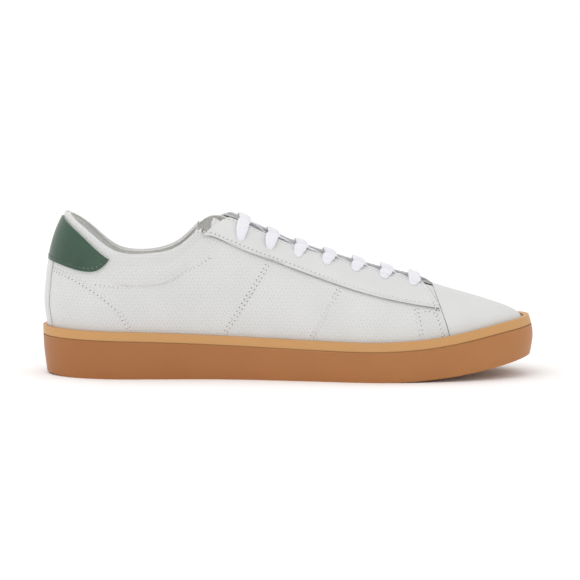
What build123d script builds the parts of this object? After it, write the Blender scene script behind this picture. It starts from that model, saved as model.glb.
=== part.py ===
"""A low-cut leather court shoe for the left foot, as the separate pieces it is made from.

+X points to the toe, +Z up and -Y to the inner (big-toe) side; the origin is the bottom centre.
The curves below are drawn with x running from the back of the heel; the whole shoe is moved back
by half its length as each piece is finished.

The upper is a skin over the last: the feather line (its outline where it meets the insole) rises
to a spine through superellipse sections, which fan out round the heel and round the toe. Every
layer of leather, foam or lining lies between two offsets of that skin and is cut to its pattern
by prisms drawn in side view or in plan.
"""

from build123d import *

import math
import os
from functools import lru_cache

import numpy as np

# ---------------------------------------------------------------- sole
SOLE_LENGTH = 300.0
BALL_WIDTH = 104.6  # across the ball
HEEL_WIDTH = 73.0  # across the heel
WAIST_WIDTH = 79.0  # across the waist
TOE_SWING = 6.5  # how far the toe tip turns to the inner side
TOE_SPRING = 13.5  # lift of the sole under the toe tip
HEEL_BEVEL = 1.6  # lift under the heel's back edge
WALL = 3.2  # cup wall, at the lip
WALL_DRAFT = 2.4  # how far the wall leans in at the ground
TOE_LEAN = 3.4  # how far the lip leans back over the toe
BAND = 5.2  # lip band above the groove
GROOVE = 0.8  # depth and height of that groove
TREAD = 6.5  # rubber under the cup's floor
CUP_DEPTH = 9.0  # how deep the upper sits below the lip

BOARD = 1.6  # insole board
SOCKLINER = 4.0

# ---------------------------------------------------------------- upper
LEATHER = 1.4  # quarters and vamp
OVERLAY = 1.2  # eyestays and heel tab
STRIP = 0.9  # back strip
COUNTER = 1.2  # heel counter and toe puff
TAPE = 0.5  # eyestay tape
LINING = 0.7
COLLAR_PAD = 5.0  # collar foam at its thickest
GAP = 0.18  # between layers that are glued
SEAM = 0.25  # between panels that meet edge to edge
ROOM = 0.35  # round the lace and the tongue
HEEL_BULGE = 2.0  # how far the upper swells over the lip at the heel
SIDE_BULGE = 1.0  # and along the sides
OUTER_DIP = 4.0  # how much lower the outer ankle line is
STRIP_WIDTH = 22.0

THROAT_TOP = 12.5  # half the gap between the eyestays at the top
THROAT_LOW = 9.5  # and at the vamp
EYELETS = 7  # pairs
EYELET_PITCH = 17.5
EYELET_BORE = 4.6
EYELET_SETBACK = 9.5  # from the eyestay's edge to the row of holes

LACE = 3.0  # the flat lace drawn as a round cord of about the same bulk
LACE_TAIL = 96.0  # each free end, tucked in beside the tongue
AGLET_LENGTH = 22.0
AGLET = 3.8

TONGUE_FACE = 1.2
TONGUE_FOAM = 2.4
TONGUE_TOP_WIDTH = 45.0
TONGUE_ROOT_WIDTH = 38.0
TONGUE_CORNER = 13.0

# ---------------------------------------------------------------- stations along the shoe
# Each x is measured on a sole 300 mm long and stretches with SOLE_LENGTH; heights don't.
STRETCH = SOLE_LENGTH / 300.0


def along(*points):
    """Stations whose x stretches with the sole's length."""
    return tuple((x * STRETCH, value) for x, value in points)


HEEL_ROUND, BALL_X, WAIST_X = 50.0 * STRETCH, 205.0 * STRETCH, 112.0 * STRETCH
TOE_SPRING_X, HEEL_BEVEL_X = 203.0 * STRETCH, 24.0 * STRETCH
FAN_HEEL_X, FAN_TOE_X, FAN_SOFT = 45.0 * STRETCH, 262.0 * STRETCH, 6.0 * STRETCH
EYELET_FIRST_X = 225.6 * STRETCH  # the pair nearest the toe
SEAM_SPAN = 252.0 * STRETCH  # the quarters' patches run a little past the vamp's seam
TONGUE_TOP_X, TONGUE_ROOT_X = 104.0 * STRETCH, 252.0 * STRETCH
INNER_WAIST = 0.454  # share of the waist on the inner side

LIP_HEIGHT = along(
    (0, 29.8), (65, 28.6), (126, 26.2), (187, 24.5), (218, 25.0), (242, 27.3), (261, 30.5),
    (279, 34.0), (300, 37.2),
)
SPINE_HEIGHT = along(
    (0, 111), (40, 112), (70, 111), (90, 106.5), (105, 101.5), (121, 94), (150, 80.3), (176, 71.6),
    (200, 64.7), (225, 58.6), (250, 51), (275, 43.6), (300, 37.5),
)
FULLNESS = along((0, 3.0), (60, 2.7), (150, 2.6), (190, 2.4), (225, 2.25), (255, 2.5), (280, 3.8), (296, 5.0))
TOPLINE = along(
    (0, 106), (14.5, 94.3), (27, 84.2), (38.8, 74.4), (46, 70.9), (57, 69.5), (70, 70.4),
    (82, 73.4), (90, 79.8), (100, 88.6), (108, 94.2), (117, 97.8), (127, 101),
)
TAB_EDGE = along((-6, 72.0), (3.2, 70.6), (18.4, 66.8), (27, 65.4), (33.5, 66.2), (38, 69.2), (42.5, 75.0), (50, 88))
STAY_EDGE = along(
    (86, 90.0), (93, 87.0), (101, 87.0), (114.4, 82.0), (130.7, 75.4), (151.2, 68.2), (171.6, 61.0),
    (192, 54.6), (218, 48.3), (241.3, 44.3), (252, 42.8),
)
VAMP_SEAM = along((224, 76), (231, 66), (236.5, 57), (241.8, 45), (246.4, 32), (249.6, 14))
STAY_FRONT = along((228.5, 0), (231, 9), (234.5, 18), (238, 26), (241.6, 35), (244, 44))  # (x, off-centre)


# ---------------------------------------------------------------- curves of the sole
def through(x, stations):
    """A smooth curve through stations of (x, value), read at x."""
    last = len(stations) - 1
    i = next((k for k in range(last) if x <= stations[k + 1][0]), last - 1)

    def slope(k):
        a, b = stations[max(k - 1, 0)], stations[min(k + 1, last)]
        return (b[1] - a[1]) / (b[0] - a[0])

    (x0, v0), (x1, v1) = stations[i], stations[i + 1]
    span = x1 - x0
    t = (x - x0) / span
    if t < 0:
        return v0 + slope(i) * (x - x0)
    if t > 1:
        return v1 + slope(i + 1) * (x - x1)
    bend = span * (slope(i) * t * (1 - t) ** 2 - slope(i + 1) * t * t * (1 - t))
    return v0 * (1 + 2 * t) * (1 - t) ** 2 + v1 * t * t * (3 - 2 * t) + bend


def ease(x, start, end):
    """0 at start, 1 at end, smooth between."""
    t = min(max((x - start) / (end - start), 0.0), 1.0)
    return t * t * (3 - 2 * t)


def centre_y(x):
    """The shoe's centre line in plan."""
    return -TOE_SWING * (max(x, 0) / SOLE_LENGTH) ** 3


def half_width(x, side):
    """Half the sole's width at x, on the inner (-1) or outer (1) side of the centre line."""
    if x < HEEL_ROUND:
        return HEEL_WIDTH / 2 * math.sqrt(max(1 - (1 - x / HEEL_ROUND) ** 2, 0))
    ball = BALL_WIDTH / 2 - side * centre_y(BALL_X)
    if x > BALL_X:
        return ball * math.sqrt(max(1 - ((x - BALL_X) / (SOLE_LENGTH - BALL_X)) ** 2, 0))
    waist = WAIST_WIDTH * (INNER_WAIST if side < 0 else 1 - INNER_WAIST)
    shank = ((WAIST_X + BALL_X) / 2, (waist + ball) / 2)
    ends = (2 * HEEL_ROUND - WAIST_X, waist), (2 * BALL_X - shank[0], shank[1])
    return through(x, (ends[0], (HEEL_ROUND, HEEL_WIDTH / 2), (WAIST_X, waist), shank, (BALL_X, ball), ends[1]))


def outline(turn):
    """A plan point on the sole's edge: turn is 0 at the heel and 1 at the toe, negative inside."""
    side = -1 if turn < 0 else 1
    share = abs(turn)
    x = SOLE_LENGTH * (1 - math.cos(math.pi * share)) / 2
    return x, centre_y(x) + side * half_width(x, side)


@lru_cache(maxsize=None)
def edge_at(turn, inset=0.0, lean=0.0):
    """The outline moved inwards by inset, and by lean more towards the toe tip."""
    step = 1e-3
    ahead, behind = (outline(t) for t in (min(turn + step, 2 - turn - step), max(turn - step, -2 - turn + step)))
    x, y = outline(turn)
    if abs(turn) > 1 - step:
        nx, ny = -1.0, 0.0
    else:
        span = math.dist(ahead, behind)
        nx, ny = (ahead[1] - behind[1]) / span, -(ahead[0] - behind[0]) / span
    depth = inset + lean * ease(x, 222 * STRETCH, SOLE_LENGTH)
    return x + nx * depth, y + ny * depth


def ground(x):
    """Height of the sole's underside: flat, with toe spring and a small heel bevel."""
    toe = max(x - TOE_SPRING_X, 0) / (SOLE_LENGTH - TOE_SPRING_X)
    heel = max(HEEL_BEVEL_X - x, 0) / HEEL_BEVEL_X
    return TOE_SPRING * toe**2 + HEEL_BEVEL * heel**2


def cup_floor(x):
    return TREAD + TOE_SPRING * (max(x - TOE_SPRING_X, 0) / (SOLE_LENGTH - TOE_SPRING_X)) ** 2


def lip(x):
    return through(x, LIP_HEIGHT)


def feather(x):
    """Height of the upper's bottom edge, where it stands on the insole board."""
    return lip(x) - CUP_DEPTH


# ---------------------------------------------------------------- the skin over the last
FEATHER = WALL + 0.25  # the feather line is this far inside the lip's outer edge


@lru_cache(maxsize=None)
def skin(turn, phi):
    """A point of the skin: phi is 0 at the feather line and pi/2 at the spine."""
    ex, ey = edge_at(turn, FEATHER, TOE_LEAN)
    px = FAN_HEEL_X + FAN_SOFT * math.log1p(math.exp((ex - FAN_HEEL_X) / FAN_SOFT))
    px = FAN_TOE_X - FAN_SOFT * math.log1p(math.exp((FAN_TOE_X - px) / FAN_SOFT))
    py = centre_y(px)
    if phi < 0:
        out, rise = 1.0, phi
    else:
        full = through(ex, FULLNESS)
        size = (math.sin(phi) ** full + abs(math.cos(phi)) ** full) ** (1 / full)
        out, rise = math.cos(phi) / size, math.sin(phi) / size
    x, y = px + (ex - px) * out, py + (ey - py) * out
    foot = feather(ex)
    z = foot + (through(x, SPINE_HEIGHT) - foot) * rise
    bulge = HEEL_BULGE + (SIDE_BULGE - HEEL_BULGE) * ease(ex, 8 * STRETCH, 50 * STRETCH)
    bulge *= ease(z, lip(ex) - 0.5, lip(ex) + 15) * (1 - max(rise, 0) ** 2) / math.dist((ex, ey), (px, py))
    return Vector(x + (ex - px) * bulge, y + (ey - py) * bulge, z)


def solve(value, target, low, high):
    """The argument at which a rising function reaches the target."""
    for _ in range(36):
        middle = (low + high) / 2
        low, high = (middle, high) if value(middle) < target else (low, middle)
    return (low + high) / 2


@lru_cache(maxsize=None)
def turn_at(x, side):
    """The turn at which the feather line reaches x."""
    return side * solve(lambda share: edge_at(side * share, FEATHER, TOE_LEAN)[0], x, 0.0, 1.0)


@lru_cache(maxsize=None)
def phi_at_height(turn, z):
    return solve(lambda phi: skin(turn, phi).Z, z, 0.0, math.pi / 2)


@lru_cache(maxsize=None)
def phi_off_centre(turn, off):
    """The phi at which the skin comes within off of the centre line, near the top."""
    return solve(lambda phi: -abs(skin(turn, phi).Y - centre_y(skin(turn, phi).X)), -off, 0.0, math.pi / 2)


@lru_cache(maxsize=None)
def phi_below_rim(turn, below):
    """The phi at which the skin lies a height below the topline."""

    def climb(phi):
        point = skin(turn, phi)
        return point.Z - rim_height(point.X, -1 if turn < 0 else 1)

    return solve(climb, -below, 0.0, math.pi / 2)


@lru_cache(maxsize=None)
def phi_top(turn):
    """The phi just past the topline or the throat's edge, whichever comes first."""
    x = edge_at(turn, FEATHER, TOE_LEAN)[0]
    rim = phi_below_rim(turn, -6.0)
    throat = phi_off_centre(turn, 6.5) if x > FAN_HEEL_X else math.pi / 2
    keen = 6.0
    return -math.log(math.exp(-keen * rim) + math.exp(-keen * throat)) / keen


STATIONS = 21  # along each side, from the heel to just past the vamp's seam
ROWS = 13


def rear(first, last):
    """The skin's patch between two stations, from the feather to past the rim or the throat.

    Stations count from the heel, negative along the inner side. Every layer shares them, so that
    neighbouring surfaces are fitted alike and stay the same distance apart.
    """

    def place(u, v):
        station = first + (last - first) * u
        turn = station / STATIONS * abs(turn_at(SEAM_SPAN, -1 if station < 0 else 1))
        return skin(turn, -0.05 + (phi_top(turn) + 0.05) * v)

    return place


FRONT_X = 224.0 * STRETCH  # where the front patch begins, behind the vamp's seam
FRONT_SIDE_X = 246.0 * STRETCH  # where its corners lie on the feather line


def front(u, v):
    """The skin's patch over the toes: u runs forward, v from the inner to the outer side."""
    side = -1 if v < 0.5 else 1
    across = abs(2 * v - 1)
    back = (FRONT_X, centre_y(FRONT_X) + side * across * 1.06 * half_width(FRONT_X, side))
    first = abs(turn_at(FRONT_SIDE_X, side))
    turn = side * (1 - (1 - first) * across)
    ex, ey = edge_at(turn, FEATHER, TOE_LEAN)
    reach = 1.08
    ahead = (FAN_TOE_X + (ex - FAN_TOE_X) * reach, ey + (ey - centre_y(FAN_TOE_X)) * (reach - 1))
    if ex < FAN_TOE_X:
        ahead = (ex, centre_y(ex) + (ey - centre_y(ex)) * reach)
    bend = max(u, 0) ** 1.5
    q = [b + (a - b) * w for a, b, w in zip(ahead, back, (u, bend))]
    return skin_over(q[0], q[1], side)


def skin_over(x, y, side):
    """The skin's point whose even spread between spine and feather falls at plan (x, y)."""

    def spoke(share):
        ex, ey = edge_at(side * share, FEATHER, TOE_LEAN)
        px = FAN_TOE_X - FAN_SOFT * math.log1p(math.exp((FAN_TOE_X - ex) / FAN_SOFT))
        return (px, centre_y(px)), (ex, ey)

    def behind(share):
        (px, py), (ex, ey) = spoke(share)
        return side * ((y - py) * (ex - px) - (x - px) * (ey - py))

    share = solve(behind, 0.0, 0.5, 1.0)
    (px, py), (ex, ey) = spoke(share)
    ratio = math.dist((x, y), (px, py)) / math.dist((ex, ey), (px, py))
    return skin(side * share, max(math.pi / 2 * (1 - ratio), -0.25))


def over_instep(x, off):
    """The skin's point at x and a signed distance off the centre line, near the top."""
    side = -1 if off < 0 else 1
    turn = turn_at(x, side)
    if abs(off) < 0.02:
        return skin(turn, math.pi / 2)
    return skin(turn, phi_off_centre(turn, abs(off)))


def instep(x_a, x_b, off_a, off_b):
    """The skin's patch over the instep, between off-centre distances that may vary with x."""

    def place(u, v):
        x = x_a + (x_b - x_a) * u
        return over_instep(x, off_a(x) + (off_b(x) - off_a(x)) * v)

    return place


def outward(place, u, v):
    """The skin's unit normal at a point of a patch."""
    step = 2e-3
    normal = (place(u + step, v) - place(u - step, v)).cross(place(u, v + step) - place(u, v - step))
    normal = normal.normalized()
    point = place(u, v)
    inside = Vector(min(max(point.X, FAN_HEEL_X), FAN_TOE_X), centre_y(point.X), 15)
    return normal if normal.dot(point - inside) > 0 else -normal


# ---------------------------------------------------------------- layers of the upper
def counter_fill(p):
    """Room taken by the heel counter, under the quarters."""
    return ease(-p.X, -98 * STRETCH, -78 * STRETCH) * ease(-p.Z, -64, -52)


def pad_fill(p):
    """Share of the collar foam's thickness, by distance below the topline."""
    side = ease(p.Y, -4, 4)
    below = rim_height(p.X, -1) * (1 - side) + rim_height(p.X, 1) * side - p.Z
    swell = ease(below, 0.5, 9.0) * ease(-below, -31, -13)
    return swell * ease(-p.X, -107 * STRETCH, -86 * STRETCH)


def tape_fill(p):
    along_x = ease(p.X, 106 * STRETCH, 113 * STRETCH) * ease(-p.X, -236 * STRETCH, -230 * STRETCH)
    return along_x * ease(-abs(p.Y - centre_y(p.X)), -36, -31)


def puff_fill(p):
    return ease(p.X, 252 * STRETCH, 262 * STRETCH)


def foam_depth(p):
    return LEATHER + GAP + (COUNTER + GAP) * counter_fill(p)


def lining_depth(p):
    """Depth of the lining's hidden face, under everything that lies between it and the leather."""
    filling = (COUNTER + GAP) * (counter_fill(p) + puff_fill(p)) + (TAPE + GAP) * tape_fill(p)
    return LEATHER + 2 * GAP + filling + (COLLAR_PAD + GAP) * pad_fill(p)


LACED_DEPTH = LEATHER + 3 * GAP + TAPE + LINING  # inner face of the stack round the eyelets


def tongue_depth(p):
    """The tongue lies under the laces, and close under the vamp's lining at its root."""
    laced = LACED_DEPTH + LACE + 2 * ROOM
    root = LEATHER + 2 * GAP + LINING + ROOM
    return laced + (root - laced) * ease(p.X, 228 * STRETCH, 243 * STRETCH)


def rim_height(x, side):
    """The topline at x; the outer side dips lower below the ankle bone."""
    dip = ease(x, 22 * STRETCH, 52 * STRETCH) * ease(-x, -96 * STRETCH, -74 * STRETCH)
    return through(x, TOPLINE) - (OUTER_DIP * dip if side > 0 else 0.0)


def flattened(points):
    """Points moved onto the plane that fits them best."""
    cloud = np.array([tuple(p) for p in points])
    middle = cloud.mean(axis=0)
    normal = np.linalg.svd(cloud - middle)[2][2]
    return [Vector(*(p - normal * np.dot(p - middle, normal))) for p in cloud]


def layer(place, top, under, columns, rows=ROWS):
    """A solid between two depths below the skin; a depth may be a function of the skin's point."""
    sections = []
    for i in range(columns):
        outer, inner = [], []
        for j in range(rows):
            u, v = i / (columns - 1), j / (rows - 1)
            point, normal = place(u, v), outward(place, u, v)
            for line, depth in ((outer, top), (inner, under)):
                line.append(point - normal * (depth(point) if callable(depth) else depth))
        if i in (0, columns - 1):
            flat = flattened(outer + inner)
            outer, inner = flat[:rows], flat[rows:]
        inner.reverse()
        even = [j / (rows - 1) for j in range(rows)]
        sections.append(
            Wire([
                Edge.make_spline(outer, parameters=even), Edge.make_line(outer[-1], inner[0]),
                Edge.make_spline(inner, parameters=even), Edge.make_line(inner[-1], outer[0]),
            ])
        )
    return Solid.make_loft(sections)


# ---------------------------------------------------------------- cuts shared by the pieces
REACH = 90.0  # half the depth of a cut across the shoe
INNER, OUTER = -1, 1


def trim(curve, *corners, side=0, plane=Plane.XZ, mode=Mode.SUBTRACT, depth=REACH):
    """Cut the piece by a prism whose outline is a smooth curve closed through corners."""
    with BuildSketch(plane) as cut:
        with BuildLine():
            edge = Spline(*curve)
            Polyline(edge @ 1, *corners, edge @ 0)
        make_face()
    extrude(cut.sketch, amount=-side * depth if side else depth, both=not side, mode=mode)


def above_board(lift=0.0):
    """Cut away whatever hangs below the insole board's top."""
    curve = [(x * STRETCH, feather(x * STRETCH) + lift) for x in range(-12, 313, 12)]
    trim(curve, (curve[-1][0], -40), (curve[0][0], -40))


def below_rim(*sides, lower=0.0):
    """Cut away whatever rises above the topline."""
    for side in sides:
        curve = [(x, rim_height(x, side) - lower) for x, _ in TOPLINE]
        trim(curve, (curve[-1][0], 150), (-20, 150), (-20, curve[0][1]), side=side)


def throat_half(x):
    """Half the throat's gap at x."""
    share = (x - 100 * STRETCH) / (136 * STRETCH)
    return THROAT_TOP + (THROAT_LOW - THROAT_TOP) * share


def open_throat(wider=0.0):
    """Cut the throat between the eyestays, as a slot from above."""
    stations = [x * STRETCH for x in (70, 100, 136, 170, 204, 240)]
    one = [(x, centre_y(x) + throat_half(x) + wider) for x in stations]
    other = [(x, centre_y(x) - throat_half(x) - wider) for x in reversed(stations)]
    with BuildSketch(Plane.XY.offset(30)) as cut:
        with BuildLine():
            a, b = Spline(*one), Spline(*other)
            Line(a @ 1, b @ 0)
            Line(b @ 1, a @ 0)
        make_face()
    extrude(cut.sketch, amount=REACH, mode=Mode.SUBTRACT)


def ahead_of_seam(shift=0.0, mode=Mode.SUBTRACT):
    """Cut away (or keep) what lies ahead of the seam between the quarters and the vamp."""
    curve = [(x + shift, z) for x, z in VAMP_SEAM]
    ahead = SOLE_LENGTH + 20
    trim(curve, (ahead, curve[-1][1]), (ahead, curve[0][1]), mode=mode)


def eyelet_off(x):
    return throat_half(x) + EYELET_SETBACK


def eyelet_frames(side):
    """A plane on the skin at each eyelet of one side, from the toe up."""
    frames = []
    for pair in range(EYELETS):
        x = EYELET_FIRST_X - EYELET_PITCH * pair
        here = instep(x - 1, x + 1, lambda _: side * (eyelet_off(x) - 1), lambda _: side * (eyelet_off(x) + 1))
        frames.append(Plane(origin=here(0.5, 0.5), z_dir=outward(here, 0.5, 0.5)))
    return frames


def punch_eyelets(side):
    with Locations(*eyelet_frames(side)):
        Cylinder(EYELET_BORE / 2, 18, mode=Mode.SUBTRACT)


OUTLINE_POINTS = 40


def plan_curve(inset, lean):
    return [edge_at(2 * k / OUTLINE_POINTS - 1, inset, lean) for k in range(OUTLINE_POINTS)]


def outline_curve(points):
    """A closed smooth curve whose points are evenly spread in its parameter."""
    even = [k / len(points) for k in range(len(points) + 1)]
    add(Edge.make_spline([Vector(*p) for p in points], periodic=True, parameters=even))


def side_band(low, high, x_a=-10.0, x_b=310.0, pad=10.0):
    """Keep only what lies between two height curves in side view."""
    stations = [x * STRETCH for x in range(int(x_a), int(x_b) + 1, int(pad))]
    with BuildSketch(Plane.XZ) as cut:
        with BuildLine():
            a = Spline(*[(x, low(x)) for x in stations])
            b = Spline(*[(x, high(x)) for x in reversed(stations)])
            Line(a @ 1, b @ 0)
            Line(b @ 1, a @ 0)
        make_face()
    extrude(cut.sketch, amount=REACH, both=True, mode=Mode.INTERSECT)


def outsole_level(z, inset=0.0):
    """The wall's outline at one height, leaning in to the ground and back over the toe."""
    points = []
    for k in range(OUTLINE_POINTS):
        turn = 2 * k / OUTLINE_POINTS - 1
        x = outline(turn)[0]
        up = min(max((z - ground(x)) / (lip(x) - ground(x)), -0.25), 1.25)
        lean = TOE_LEAN * max(up - 0.45, 0) / 0.55
        points.append(edge_at(turn, inset + WALL_DRAFT * (1 - min(up, 1)) ** 2, lean))
    return points


def slab(inset, lean, low, high):
    """A flat piece of the sole's outline, curved in side view between two heights."""
    with BuildSketch(Plane.XY.offset(-20)) as shape:
        with BuildLine():
            outline_curve(plan_curve(inset, lean))
        make_face()
    extrude(shape.sketch, amount=120)
    side_band(low, high)


def keep_x(x_a, x_b):
    """Keep only what lies between two stations."""
    with BuildSketch(Plane.XZ) as cut:
        with Locations(((x_a + x_b) / 2, 60)):
            Rectangle(x_b - x_a, 220)
    extrude(cut.sketch, amount=REACH, both=True, mode=Mode.INTERSECT)


def finish(builder, name):
    """Centre a finished piece on the origin, name it and write it."""
    piece = builder.part.moved(Location((-MIDDLE.X, -MIDDLE.Y, 0)))
    piece.label = name
    export_step(piece, f"parts/{name}.step")


os.makedirs("parts", exist_ok=True)

# ================================================================ sole
LEVELS = (-7.0, 2.0, 10.0, 18.0, 26.0, 34.0, 46.0)

with BuildPart() as cup_core:  # the wall's body, inside the groove's depth
    for z in LEVELS:
        with BuildSketch(Plane.XY.offset(z)):
            with BuildLine():
                outline_curve(outsole_level(z, GROOVE))
            make_face()
    loft()

with BuildPart() as lip_groove:
    with Locations((SOLE_LENGTH / 2, 0, 30)):
        Box(SOLE_LENGTH + 40, 2 * REACH, 60)
    side_band(lambda x: lip(x) - BAND - GROOVE, lambda x: lip(x) - BAND)
    add(cup_core.part, mode=Mode.SUBTRACT)

with BuildPart() as cup_hollow:
    slab(WALL, TOE_LEAN, cup_floor, lambda x: 80.0)

with BuildPart() as cupsole:
    for z in LEVELS:
        with BuildSketch(Plane.XY.offset(z)):
            with BuildLine():
                outline_curve(outsole_level(z))
            make_face()
    loft()
    with BuildSketch(Plane.XZ) as side_view:  # flat under the middle, up to the lip
        with BuildLine():
            heel_x, toe_x, past = -10.0, SOLE_LENGTH + 10, 4.0
            bevel = Spline(*[(x, ground(x)) for x in (heel_x, 0, HEEL_BEVEL_X / 2)], (HEEL_BEVEL_X, 0))
            level = Line(bevel @ 1, (TOE_SPRING_X, 0))
            spring = Spline(level @ 1, *[
                (TOE_SPRING_X + (toe_x - TOE_SPRING_X) * k / 8, ground(TOE_SPRING_X + (toe_x - TOE_SPRING_X) * k / 8))
                for k in range(1, 9)
            ], tangents=((1, 0), (1, 2 * TOE_SPRING / (SOLE_LENGTH - TOE_SPRING_X))))
            rim = Spline(*[(toe_x - (toe_x - heel_x) * k / 32, lip(toe_x - (toe_x - heel_x) * k / 32)) for k in range(33)])
            Line(spring @ 1, rim @ 0)
            Line(rim @ 1, bevel @ 0)
        make_face()
    extrude(side_view.sketch, amount=REACH, both=True, mode=Mode.INTERSECT)
    add(cup_hollow.part, mode=Mode.SUBTRACT)
    add(lip_groove.part, mode=Mode.SUBTRACT)
MIDDLE = cupsole.part.bounding_box().center()
finish(cupsole, "cupsole")

with BuildPart() as midsole:
    slab(WALL + 0.2, TOE_LEAN, lambda x: cup_floor(x) + GAP, lambda x: feather(x) - BOARD - 2 * GAP)
finish(midsole, "midsole")

with BuildPart() as insole_board:
    slab(FEATHER, TOE_LEAN, lambda x: feather(x) - BOARD - GAP, lambda x: feather(x) - GAP)
finish(insole_board, "insole_board")

LINED = LEATHER + 3 * GAP + COUNTER + LINING  # everything inside the feather line at the heel

with BuildPart() as sockliner:
    slab(FEATHER + LINED + 0.4, TOE_LEAN, lambda x: feather(x) + GAP, lambda x: feather(x) + GAP + SOCKLINER)
finish(sockliner, "sockliner")

# ================================================================ upper, outside to inside

for side, name in ((INNER, "quarter_inner"), (OUTER, "quarter_outer")):
    with BuildPart() as quarter:
        add(layer(rear(0, side * STATIONS), 0.0, LEATHER, STATIONS + 1))
        with Locations((0, side * (REACH + SEAM / 2), 60)):
            Box(3 * SOLE_LENGTH, 2 * REACH, 300, mode=Mode.INTERSECT)
        above_board()
        below_rim(side)
        open_throat()
        ahead_of_seam()
        punch_eyelets(side)
    finish(quarter, name)

with BuildPart() as vamp:
    add(layer(front, 0.0, LEATHER, 13, 17))
    above_board()
    ahead_of_seam(SEAM, Mode.INTERSECT)
finish(vamp, "vamp")

with BuildPart() as toe_puff:
    add(layer(front, LEATHER + GAP, lambda p: LEATHER + GAP + max(COUNTER * puff_fill(p), 0.2), 13, 17))
    above_board()
    keep_x(256.0 * STRETCH, SOLE_LENGTH)
finish(toe_puff, "toe_puff")

with BuildPart() as vamp_lining:
    add(layer(front, lining_depth, lambda p: lining_depth(p) + LINING, 13, 17))
    above_board()
    ahead_of_seam(SEAM, Mode.INTERSECT)
finish(vamp_lining, "vamp_lining")

for side, name in ((INNER, "eyestay_inner"), (OUTER, "eyestay_outer")):
    with BuildPart() as eyestay:
        add(layer(rear(side * 7, side * STATIONS), -GAP - OVERLAY, -GAP, STATIONS - 6))
        trim(STAY_EDGE, (STAY_EDGE[-1][0], -10), (-20, -10), (-20, 150), (STAY_EDGE[0][0], 150))
        front_edge = [(x, centre_y(x) + side * off) for x, off in STAY_FRONT]
        ahead = SOLE_LENGTH, front_edge[-1][1]
        trim(front_edge, ahead, (ahead[0], front_edge[0][1]), plane=Plane.XY)
        below_rim(side)
        open_throat()
        punch_eyelets(side)
    finish(eyestay, name)

TAPE_X = [x * STRETCH for x in (114, 140, 170, 200, 229)]
for side, name in ((INNER, "eyestay_tape_inner"), (OUTER, "eyestay_tape_outer")):
    with BuildPart() as tape:
        add(layer(rear(side * 10, side * STATIONS), LEATHER + GAP, LEATHER + GAP + TAPE, STATIONS - 9))
        with BuildSketch(Plane.XY.offset(30)) as shape:
            with BuildLine():
                edges = [
                    Spline(*[(x, centre_y(x) + side * (throat_half(x) + off)) for x in TAPE_X])
                    for off in (1.0, 2 * EYELET_SETBACK - 2.0)
                ]
                Line(edges[0] @ 1, edges[1] @ 1)
                Line(edges[0] @ 0, edges[1] @ 0)
            make_face()
        extrude(shape.sketch, amount=REACH, mode=Mode.INTERSECT)
        punch_eyelets(side)
    finish(tape, name)

with BuildPart() as heel_tab:
    add(layer(rear(-9, 9), -GAP - OVERLAY, -GAP, 19))
    trim(TAB_EDGE, (SOLE_LENGTH, TAB_EDGE[-1][1]), (SOLE_LENGTH, -10), (TAB_EDGE[0][0], -10))
    below_rim(INNER, OUTER)
finish(heel_tab, "heel_tab")

with BuildPart() as back_strip:
    add(layer(rear(-4, 4), -GAP - STRIP, -GAP, 9))
    edge = [(x, z - SEAM) for x, z in TAB_EDGE]
    trim(edge, (edge[-1][0], 150), (edge[0][0], 150))
    side_band(lambda x: lip(x) + GAP, lambda x: 100.0)
    with Locations((10, 0, 50)):
        Box(40, STRIP_WIDTH, 120, mode=Mode.INTERSECT)
finish(back_strip, "back_strip")

COUNTER_EDGE = along((-6, 59.5), (40, 59.5), (64, 56.5), (80, 46), (87.5, 30), (90, 12))
with BuildPart() as heel_counter:
    add(layer(rear(-12, 12), LEATHER + GAP, lambda p: LEATHER + GAP + max(COUNTER * counter_fill(p), 0.3), 25))
    trim(COUNTER_EDGE, (SOLE_LENGTH, COUNTER_EDGE[-1][1]), (SOLE_LENGTH, 150), (COUNTER_EDGE[0][0], 150))
    above_board()
finish(heel_counter, "heel_counter")

with BuildPart() as collar_foam:
    add(layer(rear(-14, 14), foam_depth, lambda p: foam_depth(p) + max(COLLAR_PAD * pad_fill(p), 0.3), 29))
    below_rim(INNER, OUTER, lower=2.0)
    for side in (INNER, OUTER):
        foot = [(x, rim_height(x, side) - 26.0) for x, _ in TOPLINE]
        trim(foot, (foot[-1][0], -60), (-20, -60), (-20, foot[0][1]), side=side)
    keep_x(-20, 97.0 * STRETCH)
finish(collar_foam, "collar_foam")

with BuildPart() as quarter_lining:
    whole = rear(-STATIONS, STATIONS)
    add(layer(whole, lining_depth, lambda p: lining_depth(p) + LINING, 2 * STATIONS + 1))
    above_board()
    below_rim(INNER, OUTER)
    open_throat()
    ahead_of_seam()
    punch_eyelets(INNER)
    punch_eyelets(OUTER)
finish(quarter_lining, "quarter_lining")

# ================================================================ tongue


def tongue_half(x):
    share = (x - TONGUE_TOP_X) / (TONGUE_ROOT_X - TONGUE_TOP_X)
    return (TONGUE_TOP_WIDTH + (TONGUE_ROOT_WIDTH - TONGUE_TOP_WIDTH) * share) / 2


def tongue_layer(depth, thickness):
    """One layer of the tongue, a little larger than its outline."""
    patch = instep(
        TONGUE_TOP_X - 1, TONGUE_ROOT_X + 1, lambda x: -tongue_half(x) - 0.6, lambda x: tongue_half(x) + 0.6
    )
    return layer(
        patch, lambda p: tongue_depth(p) + depth, lambda p: tongue_depth(p) + depth + thickness, 24, 11
    )


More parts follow.
